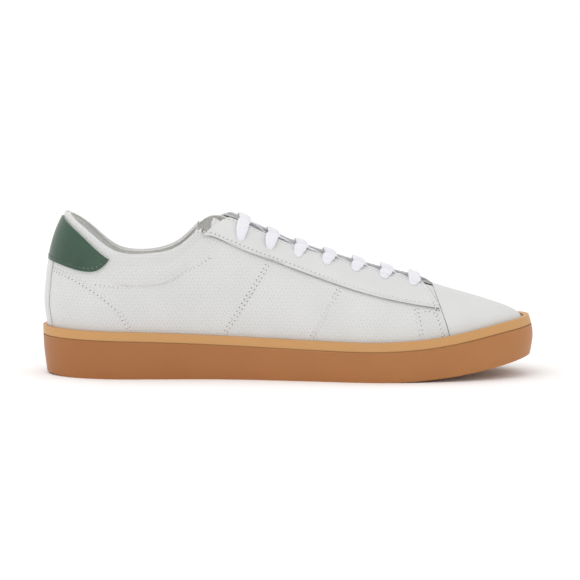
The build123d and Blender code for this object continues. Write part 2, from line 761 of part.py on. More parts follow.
def cut_tongue(inset):
    """Cut a layer to the tongue's outline, drawn in by inset, with its upper corners rounded."""
    ends = (TONGUE_TOP_X + inset, TONGUE_TOP_WIDTH), (TONGUE_ROOT_X - inset, TONGUE_ROOT_WIDTH)
    with BuildSketch(Plane.XY) as shape:
        with BuildLine():
            Polyline(*[
                (x, centre_y(x) + sign * (width / 2 - inset))
                for x, width, sign in ((*ends[0], 1), (*ends[1], 1), (*ends[1], -1), (*ends[0], -1))
            ], close=True)
        make_face()
        fillet(shape.vertices().group_by(Axis.X)[0], TONGUE_CORNER)
    extrude(shape.sketch, amount=150, mode=Mode.INTERSECT)


FOAM_DEPTH = TONGUE_FACE + GAP
for name, depth, thickness, inset in (
    ("tongue_face", 0.0, TONGUE_FACE, 0.0),
    ("tongue_foam", FOAM_DEPTH, TONGUE_FOAM, 2.0),
    ("tongue_lining", FOAM_DEPTH + TONGUE_FOAM + GAP, LINING, 0.3),
):
    with BuildPart() as tongue:
        add(tongue_layer(depth, thickness))
        cut_tongue(inset)
    finish(tongue, name)

# ================================================================ lace
OVER = OVERLAY + GAP + ROOM + LACE / 2  # centre line above the skin, outside
UNDER = LACED_DEPTH + ROOM + LACE / 2  # and below it, inside
LACE_LIFT = 0.8  # how much higher it runs over the eyestay's edge
CROSS_HIGH, CROSS_LOW = 1.5, -2.1  # the two strands where they cross


def lace_point(x, off, height):
    """A point of the lace's centre line, by its height over the skin."""
    side = -1 if off < 0 else 1
    here = instep(x - 1, x + 1, lambda _: off - 1, lambda _: off + 1)
    if abs(off) < 1:
        slope = over_instep(x - 1, 0) - over_instep(x + 1, 0)
        return over_instep(x, 0) + slope.cross(Vector(0, 1, 0)).normalized() * height
    return here(0.5, 0.5) + outward(here, 0.5, 0.5) * height


def tail(side):
    """The free end past the top eyelet, tucked forward beside the tongue, tip first."""
    top_x = EYELET_FIRST_X - EYELET_PITCH * (EYELETS - 1)
    steps = ((1.0, 33.0), (0.72, 32.2), (0.45, 31.4), (0.2, 30.6), (0.06, 28.2))
    return [lace_point(top_x + LACE_TAIL * share, side * off, -UNDER - 0.8) for share, off in steps]


def half_lace(side):
    """From the free end down to the lowest eyelet of one side, zigzagging across."""
    points = tail(side)
    here = side
    for pair in reversed(range(EYELETS)):
        x = EYELET_FIRST_X - EYELET_PITCH * pair
        off = eyelet_off(x)
        edge = throat_half(x)
        inside = lace_point(x, here * off, -UNDER)
        outside = lace_point(x, here * off, OVER)
        if pair < EYELETS - 1:  # came over the centre from the pair above, from beneath this side's edge
            points.append(lace_point(x - 2.5, here * (edge + 1.2), -UNDER))
        points += [inside, outside]
        points.append(lace_point(x + 0.4, here * (off + edge) / 2, OVER + LACE_LIFT / 3))
        if pair:
            high = (pair % 2 == 0) == (side == INNER)
            points.append(lace_point(x + 2.5, here * (edge - 2.4), OVER + LACE_LIFT))
            points.append(lace_point(x + EYELET_PITCH / 2, 0.0, CROSS_HIGH if high else CROSS_LOW))
            here = -here
        else:
            points.append(lace_point(x + 0.8, here * (edge - 2.6), OVER + LACE_LIFT / 2))
    return points


def bend_radii(points):
    """The largest arc each corner has room for."""
    radii = []
    for before, here, after in zip(points, points[1:], points[2:]):
        turn = math.radians((here - before).get_angle(after - here))
        shorter = min((here - before).length, (after - here).length)
        radii.append(0.45 * shorter / math.tan(turn / 2))
    return radii


inner_run, outer_run = half_lace(INNER), half_lace(OUTER)
lace_points = inner_run + outer_run[::-1]
lace_radii = bend_radii(lace_points)
print("lace radii", [round(r, 1) for r in lace_radii])

with BuildPart() as shoelace:
    with BuildLine() as route:
        FilletPolyline(*lace_points, radius=lace_radii)
    with BuildSketch(Plane(origin=route.line @ 0, z_dir=route.line % 0)):
        Circle(LACE / 2)
    sweep()
print("lace length", round(route.wires()[0].length, 1), "volume", round(shoelace.part.volume, 1))
finish(shoelace, "shoelace")

for end, name in ((0, "aglet_inner"), (1, "aglet_outer")):
    direction = (route.line % end) * (1 if end else -1)
    with BuildPart() as aglet:
        with BuildSketch(Plane(origin=route.line @ end + direction * 0.3, z_dir=-direction)):
            Circle(AGLET / 2)
            Circle(LACE / 2 + 0.06, mode=Mode.SUBTRACT)
        extrude(amount=AGLET_LENGTH)
    finish(aglet, name)
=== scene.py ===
"""A low-cut white leather court shoe with a green heel tab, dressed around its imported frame.

The frame holds every panel, sole layer and lining. This script adds what a maker adds last: the
woven lace, the padded collar, thread and needle holes, punched perforations, painted edges and the
bound tongue, and gives each part its finish.
"""

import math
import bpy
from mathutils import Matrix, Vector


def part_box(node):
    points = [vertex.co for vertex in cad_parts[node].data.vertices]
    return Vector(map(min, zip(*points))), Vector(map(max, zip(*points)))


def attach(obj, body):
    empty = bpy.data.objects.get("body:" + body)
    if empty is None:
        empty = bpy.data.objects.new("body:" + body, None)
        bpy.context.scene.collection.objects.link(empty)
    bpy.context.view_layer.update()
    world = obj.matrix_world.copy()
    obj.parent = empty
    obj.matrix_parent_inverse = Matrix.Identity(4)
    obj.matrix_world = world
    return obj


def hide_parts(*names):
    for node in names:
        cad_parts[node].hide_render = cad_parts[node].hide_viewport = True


bl_info = {
    "name": "Court shoe",
    "version": (1, 0, 0),
    "blender": (4, 5, 0),
    "location": "3D View > Sidebar > Court shoe",
    "description": "Dresses a packed court shoe: lace, stitching, perforations, collar and finishes",
    "category": "Object",
}

import bmesh
import bpy
from bpy.props import FloatProperty, PointerProperty, StringProperty
from mathutils import Vector
from mathutils.bvhtree import BVHTree

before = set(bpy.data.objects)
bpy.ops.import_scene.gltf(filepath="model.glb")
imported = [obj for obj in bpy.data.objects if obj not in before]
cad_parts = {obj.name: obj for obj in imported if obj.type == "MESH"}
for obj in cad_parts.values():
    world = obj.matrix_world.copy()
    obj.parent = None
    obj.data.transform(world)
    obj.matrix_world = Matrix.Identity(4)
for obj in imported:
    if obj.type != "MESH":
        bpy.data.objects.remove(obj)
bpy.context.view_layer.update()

MM = 0.001
HEEL_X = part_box("cupsole")[0].x
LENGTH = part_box("cupsole")[1].x - HEEL_X
INNER, OUTER = -1, 1
SIDES = ((INNER, "inner"), (OUTER, "outer"))

# ---------------------------------------------------------------- places on the shoe
# Side-view stations are (distance from the heel, height) in millimetres, as the patterns are drawn.
COLLAR_SEAM = (
    (32, 57.6), (42, 56.6), (54, 56.4), (65, 58.0), (76, 60.8), (86, 64.6), (96, 69.6), (103, 73.8),
)
HEEL_SEAM = (
    (5.5, 65.2), (14, 62.8), (22.6, 59.2), (33, 53.3), (40.3, 48), (47, 41.9), (50.7, 35.7), (53.4, 30.5),
)
MIDDLE_SEAM = ((137.6, 70.0), (124.5, 49.0), (111.4, 28.6))
FORE_SEAM = ((180.6, 55.6), (172, 40.8), (163.8, 26.4))
TOE_SEAM = ((227.2, 44.6), (229.0, 36.0), (230.4, 27.9))
BOX_SEAM = ((231.6, 42.6), (236.6, 42.0), (239.6, 39.6), (242.0, 33.0), (243.2, 28.4))
QUARTER_FRONT = ((239.2, 43.6), (241.8, 37.6), (243.8, 31.4), (244.8, 27.6))
STAY_EDGE = (
    (93, 87.0), (101, 87.0), (114.4, 82.0), (130.7, 75.4), (151.2, 68.2), (171.6, 61.0), (192, 54.6),
    (218, 48.3), (240.5, 44.4),
)
TAB_EDGE = ((3.2, 70.6), (18.4, 66.8), (27, 65.4), (33.5, 66.2), (38, 69.2))
VAMP_SEAM = ((238.2, 53.0), (241.8, 45.0), (244.4, 38.0), (246.6, 31.0), (247.8, 26.4))
STAY_FRONT = ((229.5, 5.0), (231, 9.6), (234.5, 18), (238, 26), (241.0, 34.4))  # (from the heel, off centre)
THROAT_FIRST, THROAT_LAST = 104.0, 228.0

TOE_SWING = 6.5
THROAT_TOP, THROAT_LOW = 12.5, 9.5
EYELETS, EYELET_PITCH, EYELET_FIRST, EYELET_SETBACK = 7, 17.5, 225.6, 9.5
LACED_DEPTH = 1.4 + 0.54 + 0.5 + 0.7  # leather, gaps, tape and lining round the eyelets
FAN_X = 45.0  # the heel's sections fan out about this station
TONGUE_DEPTH = 6.84  # of the tongue's face below the upper's outer skin, under the laces
TONGUE_TOP, TONGUE_ROOT = 104.0, 252.0
TONGUE_TOP_WIDTH, TONGUE_ROOT_WIDTH = 45.0, 38.0


def station(x):
    """The frame's x of a distance from the heel in millimetres."""
    return HEEL_X + x * MM


def centre_y(x):
    """The centre line's y in millimetres, at a distance from the heel."""
    return -TOE_SWING * (max(x, 0) / 300) ** 3


def throat_half(x):
    return THROAT_TOP + (THROAT_LOW - THROAT_TOP) * (x - 100) / 136


def ease(value, start, end):
    t = min(max((value - start) / (end - start), 0.0), 1.0)
    return t * t * (3 - 2 * t)


# ---------------------------------------------------------------- surfaces of the frame
class Surface:
    """Several pieces that rays are cast at together."""

    trees = {}  # one per mesh, made when it is first needed

    def __init__(self, meshes):
        for mesh in meshes:
            if mesh.name not in Surface.trees:
                work = bmesh.new()
                work.from_mesh(mesh)
                Surface.trees[mesh.name] = BVHTree.FromBMesh(work)
                work.free()
        self.names = [mesh.name for mesh in meshes]

    def ray_cast(self, start, direction, reach=1.0):
        """The nearest hit as (point, normal, face, distance), with None for each on a miss."""
        hits = [Surface.trees[name].ray_cast(start, direction, reach) for name in self.names]
        return min((hit for hit in hits if hit[0] is not None), key=lambda hit: hit[3], default=(None,) * 4)


def surface(*nodes, extra=()):
    """The surface of CAD nodes, and of finished pieces if any."""
    return Surface([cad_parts[name].data for name in nodes] + [piece.data for piece in extra])


def cast(tree, start, direction):
    """(point, normal facing the ray's start), or None where the ray misses."""
    point, normal, _, _ = tree.ray_cast(start, direction)
    if point is None:
        return None
    return point, (normal if normal.dot(direction) < 0 else -normal)


def from_side(tree, x, z, side):
    """Cast at a side-view station from outside."""
    return cast(tree, Vector((station(x), side * 0.2, z * MM)), Vector((0, -side, 0)))


def from_above(tree, x, off):
    """Cast down at a station and a signed distance off the centre line."""
    return cast(tree, Vector((station(x), (centre_y(x) + off) * MM, 0.2)), Vector((0, 0, -1)))


def curve_through(points, step):
    """A Catmull-Rom line through points, about one point every step."""
    points = [Vector(p) for p in points]
    ends = [2 * points[0] - points[1], *points, 2 * points[-1] - points[-2]]
    line = []
    for a, b, c, d in zip(ends, ends[1:], ends[2:], ends[3:]):
        count = max(round(math.dist(b[:3], c[:3]) / step), 1)
        for k in range(count):
            t = k / count
            square, cube = 2 * a - 5 * b + 4 * c - d, 3 * b - a - 3 * c + d
            line.append(0.5 * (2 * b + (c - a) * t + square * t**2 + cube * t**3))
    line.append(points[-1])
    return line


def laid(tree, stations, side, lift=0.0):
    """A side-view curve laid on the surface: a list of (point, normal)."""
    line = []
    for p in curve_through([Vector((*s, 0)) for s in stations], 1.0):
        hit = from_side(tree, p.x, p.y, side)
        if hit:
            line.append((hit[0] + hit[1] * lift * MM, hit[1]))
    return line


def laid_from_above(tree, stations, side, lift=0.0):
    """A plan curve of (from the heel, off centre) laid on the surface."""
    line = []
    for p in curve_through([Vector((*s, 0)) for s in stations], 1.0):
        hit = from_above(tree, p.x, side * p.y)
        if hit:
            line.append((hit[0] + hit[1] * lift * MM, hit[1]))
    return line


def shifted(stations, distance):
    """Side-view stations moved to the left of their course."""
    points = [Vector((*s, 0)) for s in stations]
    moved = []
    for i, p in enumerate(points):
        course = (points[min(i + 1, len(points) - 1)] - points[max(i - 1, 0)]).normalized()
        moved.append((p.x - course.y * distance, p.y + course.x * distance))
    return moved


# ---------------------------------------------------------------- meshes
def new_piece(name, points, faces, smooth=True):
    mesh = bpy.data.meshes.new(name)
    mesh.from_pydata([tuple(p) for p in points], [], faces)
    mesh.update()
    piece = bpy.data.objects.new(name, mesh)
    bpy.context.scene.collection.objects.link(piece)
    for face in mesh.polygons:
        face.use_smooth = smooth
    return piece


def closed_tube(name, rings):
    """A tube through rings of as many points each, with UVs in metres along and around."""
    count = len(rings[0])
    points = [p for ring in rings for p in ring]
    faces = []
    for i in range(len(rings) - 1):
        for j in range(count):
            k = (j + 1) % count
            faces.append((i * count + j, i * count + k, (i + 1) * count + k, (i + 1) * count + j))
    faces.append(tuple(reversed(range(count))))
    faces.append(tuple((len(rings) - 1) * count + j for j in range(count)))
    piece = new_piece(name, points, faces)
    layer = piece.data.uv_layers.new(name="UVMap")
    along = [0.0]
    for a, b in zip(rings, rings[1:]):
        middle_a, middle_b = sum(a, Vector()) / count, sum(b, Vector()) / count
        along.append(along[-1] + (middle_b - middle_a).length)
    for face in piece.data.polygons:
        corners = [piece.data.loops[i].vertex_index for i in face.loop_indices]
        wraps = {c % count for c in corners} == {0, count - 1}
        for loop, corner in zip(face.loop_indices, corners):
            ring, j = divmod(corner, count)
            j = count if wraps and j == 0 else j
            layer.data[loop].uv = (along[ring], j / count)
    turn_outwards(piece)
    return piece


def turn_outwards(piece):
    """Merge doubles and point every face outwards."""
    work = bmesh.new()
    work.from_mesh(piece.data)
    bmesh.ops.remove_doubles(work, verts=work.verts, dist=1e-7)
    bmesh.ops.recalc_face_normals(work, faces=work.faces)
    work.to_mesh(piece.data)
    work.free()


def applied(piece):
    """Turn the evaluated piece into its own plain mesh."""
    bpy.context.view_layer.update()
    evaluated = piece.evaluated_get(bpy.context.evaluated_depsgraph_get())
    mesh = bpy.data.meshes.new_from_object(evaluated)
    piece.modifiers.clear()
    old, piece.data = piece.data, mesh
    bpy.data.meshes.remove(old)
    return piece


def dressed(piece, body, material):
    """Give a finished piece its material and the body that it rides on."""
    piece.data.materials.clear()
    piece.data.materials.append(material)
    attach(piece, body)
    return piece


def bead(name, line, width, height, sides=8):
    """A rounded strip along a laid line, lying on the surface."""
    rings = []
    for i, (point, normal) in enumerate(line):
        course = (line[min(i + 1, len(line) - 1)][0] - line[max(i - 1, 0)][0]).normalized()
        across = course.cross(normal).normalized()
        up = across.cross(course)
        taper = min(1.0, 0.35 + i / 4, 0.35 + (len(line) - 1 - i) / 4)
        rings.append([
            point + across * math.cos(a) * width / 2 * taper * MM + up * math.sin(a) * height / 2 * taper * MM
            for a in (math.tau * k / sides for k in range(sides))
        ])
    return closed_tube(name, rings)


def joined(name, pieces):
    """Several meshes as one piece."""
    work = bmesh.new()
    for piece in pieces:
        work.from_mesh(piece.data)
    mesh = bpy.data.meshes.new(name)
    work.to_mesh(mesh)
    work.free()
    for piece in pieces:
        old = piece.data
        bpy.data.objects.remove(piece)
        bpy.data.meshes.remove(old)
    whole = bpy.data.objects.new(name, mesh)
    bpy.context.scene.collection.objects.link(whole)
    for face in mesh.polygons:
        face.use_smooth = True
    return whole


# ---------------------------------------------------------------- material nodes
def linear(hex_colour):
    """An sRGB hex value as linear RGBA."""
    values = [int(hex_colour[i : i + 2], 16) / 255 for i in (1, 3, 5)]
    return (*[v / 12.92 if v <= 0.04045 else ((v + 0.055) / 1.055) ** 2.4 for v in values], 1.0)


def add(tree, kind, links=None, inputs=None, **settings):
    """A node with its settings, its input values and its links from other sockets."""
    node = tree.nodes.new(kind)
    for key, value in settings.items():
        setattr(node, key, value)
    for key, value in (inputs or {}).items():
        node.inputs[key].default_value = value
    for key, source in (links or {}).items():
        tree.links.new(source, node.inputs[key])
    return node


def new_material(name, colour, roughness, **sockets):
    """A Principled material; returns (material, tree, shader, object coordinates)."""
    material = bpy.data.materials.new(name)
    material.use_nodes = True
    tree = material.node_tree
    shader = tree.nodes["Principled BSDF"]
    shader.inputs["Base Color"].default_value = linear(colour)
    shader.inputs["Roughness"].default_value = roughness
    for key, value in sockets.items():
        shader.inputs[key.replace("_", " ")].default_value = value
    place = add(tree, "ShaderNodeTexCoord")
    return material, tree, shader, place.outputs["Object"]


def mixed(tree, factor, low, high):
    """A colour between two hex values."""
    node = add(tree, "ShaderNodeMix", {0: factor}, data_type="RGBA")
    node.inputs[6].default_value = linear(low)
    node.inputs[7].default_value = linear(high)
    return node.outputs[2]


def ramp(tree, source, start, end, low=0.0, high=1.0):
    node = add(
        tree, "ShaderNodeMapRange", {"Value": source},
        {"From Min": start, "From Max": end, "To Min": low, "To Max": high}, interpolation_type="SMOOTHSTEP",
    )
    return node.outputs["Result"]


def calc(tree, operation, first, second):
    """A math node on a socket and a second socket or a number."""
    links, inputs = ({0: first}, {1: second}) if isinstance(second, float) else ({0: first, 1: second}, None)
    return add(tree, "ShaderNodeMath", links, inputs, operation=operation).outputs[0]


def noise(tree, place, size, detail, distortion=0.0):
    """Soft noise whose cells are this many millimetres wide."""
    values = {"Scale": per_mm(size), "Detail": detail, "Distortion": distortion}
    return add(tree, "ShaderNodeTexNoise", {"Vector": place}, values).outputs["Fac"]


def tinted(tree, shader, source, start, end, low, high):
    """Colour the surface between two hex values as the source runs from start to end."""
    tree.links.new(mixed(tree, ramp(tree, source, start, end), low, high), shader.inputs["Base Color"])


def bumped(tree, shader, height, strength, depth, under=None):
    """Raise the surface by a height field, depth millimetres deep, over the bump under it."""
    links = {"Height": height} if under is None else {"Height": height, "Normal": under}
    bump = add(tree, "ShaderNodeBump", links, {"Strength": strength, "Distance": depth * MM})
    tree.links.new(bump.outputs["Normal"], shader.inputs["Normal"])
    return bump.outputs["Normal"]


def per_mm(size):
    """The texture scale whose cells are this many millimetres wide."""
    return 1.0 / (size * MM)


def leather(name, colour, deep, roughness, grain=0.9, height=0.05, **sockets):
    """Full-grain leather, finished with pigment: pebbled cells with fine creases between them, with painted
    shade in the creases and a tone that drifts at random.
    """
    material, tree, shader, place = new_material(name, colour, roughness, **sockets)
    cells = add(
        tree, "ShaderNodeTexVoronoi", {"Vector": place}, {"Scale": per_mm(grain)}, feature="DISTANCE_TO_EDGE"
    )
    pebble = ramp(tree, cells.outputs["Distance"], 0.0, 0.22)
    drift = noise(tree, place, 26, 3.0)
    fine = noise(tree, place, 0.7, 2.0)
    tone = mixed(tree, ramp(tree, drift, 0.35, 0.65), deep, colour)
    # Painted shade: the deep colour fills the creases between the pebbles, and elsewhere it drifts into the
    # tone at random.
    painted_crease_shade = add(tree, "ShaderNodeMix", {0: pebble, 7: tone}, data_type="RGBA")
    painted_crease_shade.inputs[6].default_value = linear(deep)
    tree.links.new(painted_crease_shade.outputs[2], shader.inputs["Base Color"])
    low = bumped(tree, shader, pebble, 0.5, height)
    bumped(tree, shader, fine, 0.35, height, low)
    rough = ramp(tree, fine, 0.3, 0.7, roughness - 0.06, roughness + 0.08)
    tree.links.new(rough, shader.inputs["Roughness"])
    return material


def white_leather():
    """White full-grain leather, finely pebbled, with a soft satin finish that hardly shines."""
    return leather(
        "white_full_grain_leather", SETTINGS.leather, "#cfcfce", 0.52, Coat_Weight=0.04, Coat_Roughness=0.4
    )


def green_leather():
    """Smooth dark green calf leather, glazed so that it carries a clear soft highlight."""
    return leather(
        "green_glazed_leather", SETTINGS.tab, "#1f3d2b", 0.36, grain=0.7, height=0.03, Coat_Weight=0.25,
        Coat_Roughness=0.28,
    )


def gum_rubber():
    """Natural gum rubber, pressed in a mould: warm and slightly waxy, with a painted highlight along the
    wall's top under the lip and painted light growing toward the front.
    """
    material, tree, shader, place = new_material(
        "gum_rubber_moulded", "#ab6e36", 0.46, Specular_IOR_Level=0.45, IOR=1.52, Subsurface_Weight=0.06,
        Subsurface_Scale=0.003,
    )
    parts = add(tree, "ShaderNodeSeparateXYZ", {"Vector": place})
    ends = {"From Min": HEEL_X, "From Max": HEEL_X + LENGTH}
    spot = add(tree, "ShaderNodeMapRange", {"Value": parts.outputs["X"]}, ends)
    lip_line = add(tree, "ShaderNodeFloatCurve", {"Value": spot.outputs["Result"]})
    heights = (
        (0, 29.8), (0.217, 28.6), (0.42, 26.2), (0.623, 24.5), (0.727, 25), (0.807, 27.3), (0.93, 34),
        (1, 37.2),
    )
    curve = lip_line.mapping.curves[0]
    for at, height in heights[1:-1]:
        curve.points.new(at, height / 50)
    curve.points[0].location = (0.0, heights[0][1] / 50)
    curve.points[len(curve.points) - 1].location = (1.0, heights[-1][1] / 50)
    lip_line.mapping.update()
    level = calc(tree, "MULTIPLY", parts.outputs["Z"], per_mm(50))
    # Painted highlight: the wall's top 6 mm, up to the lip line, is masked for a lighter colour.
    lip_highlight_mask = ramp(tree, calc(tree, "SUBTRACT", level, lip_line.outputs["Value"]), -0.128, -0.112)
    clouds = noise(tree, place, 34, 4.0)
    # Painted light: the wall's colour grows lighter from the heel toward the front.
    light_toward_front = ramp(tree, parts.outputs["X"], HEEL_X, HEEL_X + LENGTH)
    body = add(tree, "ShaderNodeMix", {0: light_toward_front}, data_type="RGBA")
    body.inputs[6].default_value = linear(SETTINGS.gum)
    body.inputs[7].default_value = linear("#ac723e")
    patches = ramp(tree, clouds, 0.3, 0.7, 0.0, 0.22)
    cloudy = add(tree, "ShaderNodeMix", {0: patches, 6: body.outputs[2]}, data_type="RGBA")
    cloudy.inputs[7].default_value = linear("#935a2a")
    # The painted highlight on the lip: a lighter gum colour laid over the cloudy wall.
    with_lip_highlight = add(tree, "ShaderNodeMix", {0: lip_highlight_mask, 6: cloudy.outputs[2]}, data_type="RGBA")
    with_lip_highlight.inputs[7].default_value = linear("#c29159")
    tree.links.new(with_lip_highlight.outputs[2], shader.inputs["Base Color"])
    grit = noise(tree, place, 0.9, 3.0)
    facing = add(tree, "ShaderNodeNewGeometry").outputs["Normal"]
    under = add(tree, "ShaderNodeSeparateXYZ", {"Vector": facing})
    sole_face = ramp(tree, under.outputs["Z"], -0.85, -0.95)
    zigzag = calc(tree, "PINGPONG", calc(tree, "MULTIPLY", parts.outputs["Y"], per_mm(7.0)), 1.0)
    bent = calc(tree, "ADD", calc(tree, "MULTIPLY", parts.outputs["X"], per_mm(4.0)), zigzag)
    ribs = calc(tree, "PINGPONG", bent, 0.5)
    herringbone = calc(tree, "MULTIPLY", ramp(tree, ribs, 0.14, 0.3), sole_face)
    tread = bumped(tree, shader, herringbone, 1.0, 1.2)
    bumped(tree, shader, grit, 0.3, 0.03, tread)
    return material


def woven(name, colour, shade, pitch, roughness=0.85):
    """Plain-woven or knitted textile: threads over and under, each a little rounded, with painted shade in
    the gaps between them.
    """
    material, tree, shader, place = new_material(
        name, colour, roughness, Sheen_Weight=0.25, Sheen_Roughness=0.6
    )
    weave = []
    for turn in (0.0, math.pi / 2):
        turned = add(tree, "ShaderNodeMapping", {"Vector": place})
        turned.inputs["Rotation"].default_value = (turn, 0.0, turn)
        threads = {"Scale": per_mm(pitch) / 20 * 3.2}
        wave = add(tree, "ShaderNodeTexWave", {"Vector": turned.outputs["Vector"]}, threads)
        weave.append(wave.outputs["Fac"])
    crossed = calc(tree, "MULTIPLY", *weave)
    fuzz = noise(tree, place, 1.1, 3.0)
    # Painted shade: the gaps where the threads dip under take the darker colour.
    tinted(tree, shader, crossed, 0.05, 0.5, shade, colour)
    low = bumped(tree, shader, crossed, 0.6, 0.12)
    bumped(tree, shader, fuzz, 0.3, 0.06, low)
    return material


def lining_textile():
    """Light grey air mesh, knitted, soft and dull."""
    return woven("lining_air_mesh", "#f2f0ec", "#e4e2dd", 0.8)


def sockliner_textile():
    """Brushed polyester over foam, light grey with a faint nap."""
    return woven("sockliner_brushed_textile", "#d9d8d4", "#bdbcb8", 0.9)


def lace_cotton():
    """Flat woven cotton: a herringbone of thick yarn whose two halves lean together, with painted shade in
    the grooves between the yarns.
    """
    material, tree, shader, _ = new_material(
        "lace_woven_cotton", SETTINGS.lace, 0.82, Sheen_Weight=0.3, Sheen_Roughness=0.5
    )
    place = add(tree, "ShaderNodeTexCoord").outputs["UV"]
    parts = add(tree, "ShaderNodeSeparateXYZ", {"Vector": place})
    fold = calc(tree, "PINGPONG", calc(tree, "MULTIPLY", parts.outputs["Y"], 8.0), 1.0)
    slant = calc(tree, "ADD", calc(tree, "MULTIPLY", parts.outputs["X"], per_mm(0.9)), fold)
    yarn = calc(tree, "PINGPONG", slant, 0.5)
    # Painted shade: the grooves between the yarns take a purple-grey.
    tinted(tree, shader, yarn, 0.02, 0.3, "#c6c6cf", SETTINGS.lace)
    bumped(tree, shader, yarn, 0.8, 0.14)
    return material


def thread_polyester(name, colour):
    """Bonded polyester thread, twisted, with a slight gloss along each turn."""
    material, tree, shader, place = new_material(
        f"{name}_thread_bonded_polyester", colour, 0.55, Sheen_Weight=0.1
    )
    twist = add(
        tree, "ShaderNodeTexWave", {"Vector": place}, {"Scale": per_mm(0.45) / 6.3, "Distortion": 1.0}
    )
    bumped(tree, shader, twist.outputs["Fac"], 0.4, 0.05)
    return material


def punched_hole():
    """The shadowed inside of a punched hole in white leather: a dull grey."""
    material, tree, shader, place = new_material("hole_shadow", SETTINGS.hole, 0.9)
    blotch = noise(tree, place, 9, 1.0)
    tinted(tree, shader, blotch, 0.35, 0.65, SETTINGS.hole, "#aeafac")
    return material


def needle_hole():
    """The painted shadow of a needle hole, deeper and darker than a perforation's."""
    material, tree, shader, place = new_material("needle_hole_shadow", "#6f706e", 0.9)
    blotch = noise(tree, place, 7, 1.0)
    tinted(tree, shader, blotch, 0.35, 0.65, "#6f706e", "#8e8f8c")
    return material


def painted_edge():
    """The cut edge of a leather panel, sealed with grey-green edge paint, slightly glossy."""
    material, tree, shader, place = new_material("edge_paint", "#959b95", 0.45)
    wobble = noise(tree, place, 5, 2.0)
    tinted(tree, shader, wobble, 0.3, 0.7, "#8a908a", "#a6aba5")
    return material


def aglet_film():
    """Clear acetate film, rolled hard round the lace's end: smooth and glossy."""
    material, tree, shader, place = new_material("aglet_acetate", "#ededeb", 0.18, IOR=1.48, Coat_Weight=0.5)
    wrap = add(
        tree, "ShaderNodeTexWave", {"Vector": place}, {"Scale": per_mm(3.0) / 6.3}, bands_direction="X"
    )
    bumped(tree, shader, wrap.outputs["Fac"], 0.2, 0.05)
    return material


def foam(name, colour, shade):
    """Open-cell foam: a dull field of fine pores, with painted shade in each pore."""
    material, tree, shader, place = new_material(name, colour, 0.95)
    pores = add(tree, "ShaderNodeTexVoronoi", {"Vector": place}, {"Scale": per_mm(0.8)})
    # Painted shade: each pore is darker toward its sunken middle.
    tinted(tree, shader, pores.outputs["Distance"], 0.1, 0.6, shade, colour)
    bumped(tree, shader, pores.outputs["Distance"], 0.5, 0.2)
    return material


def fibreboard(name, colour, shade):
    """Pressed cellulose or non-woven sheet: matted fibres in every direction."""
    material, tree, shader, place = new_material(name, colour, 0.9)
    fibres = noise(tree, place, 1.6, 5.0, 1.5)
    tinted(tree, shader, fibres, 0.35, 0.65, shade, colour)
    bumped(tree, shader, fibres, 0.4, 0.1)
    return material


# ---------------------------------------------------------------- geometry nodes
def repeat_tree(name, along_a_path):
    """Instances of one small mesh, on a path at an even pitch or on each point, standing on the surface."""
    tree = bpy.data.node_groups.new(name, "GeometryNodeTree")
    face = tree.interface
    face.new_socket("Geometry", in_out="INPUT", socket_type="NodeSocketGeometry")
    face.new_socket("Pitch", in_out="INPUT", socket_type="NodeSocketFloat")
    face.new_socket("Piece", in_out="INPUT", socket_type="NodeSocketObject")
    face.new_socket("Material", in_out="INPUT", socket_type="NodeSocketMaterial")
    face.new_socket("Geometry", in_out="OUTPUT", socket_type="NodeSocketGeometry")
    given = add(tree, "NodeGroupInput").outputs
    normal = add(tree, "GeometryNodeInputNamedAttribute", None, {"Name": "outward"}, data_type="FLOAT_VECTOR")
    if along_a_path:
        path = add(tree, "GeometryNodeMeshToCurve", {"Mesh": given["Geometry"]})
        spaced = add(
            tree, "GeometryNodeResampleCurve", {"Curve": path.outputs["Curve"], "Length": given["Pitch"]},
            mode="LENGTH",
        )
        base = spaced.outputs["Curve"]
        course = add(tree, "GeometryNodeInputTangent").outputs["Tangent"]
    else:
        base = add(tree, "GeometryNodeMeshToPoints", {"Mesh": given["Geometry"]}).outputs["Points"]
        course = add(tree, "FunctionNodeInputVector", vector=(1.0, 0.0, 0.0)).outputs["Vector"]
    first = add(tree, "FunctionNodeAlignRotationToVector", {"Vector": normal.outputs["Attribute"]}, axis="Z")
    second = add(
        tree, "FunctionNodeAlignRotationToVector", {"Rotation": first.outputs["Rotation"], "Vector": course},
        axis="X", pivot_axis="Z",
    )
    thing = add(tree, "GeometryNodeObjectInfo", {"Object": given["Piece"]})
    spread = add(
        tree, "GeometryNodeInstanceOnPoints",
        {"Points": base, "Instance": thing.outputs["Geometry"], "Rotation": second.outputs["Rotation"]},
    )
    real = add(tree, "GeometryNodeRealizeInstances", {"Geometry": spread.outputs["Instances"]})
    painted = add(
        tree, "GeometryNodeSetMaterial", {"Geometry": real.outputs["Geometry"], "Material": given["Material"]}
    )
    add(tree, "NodeGroupOutput", {"Geometry": painted.outputs["Geometry"]})
    return tree


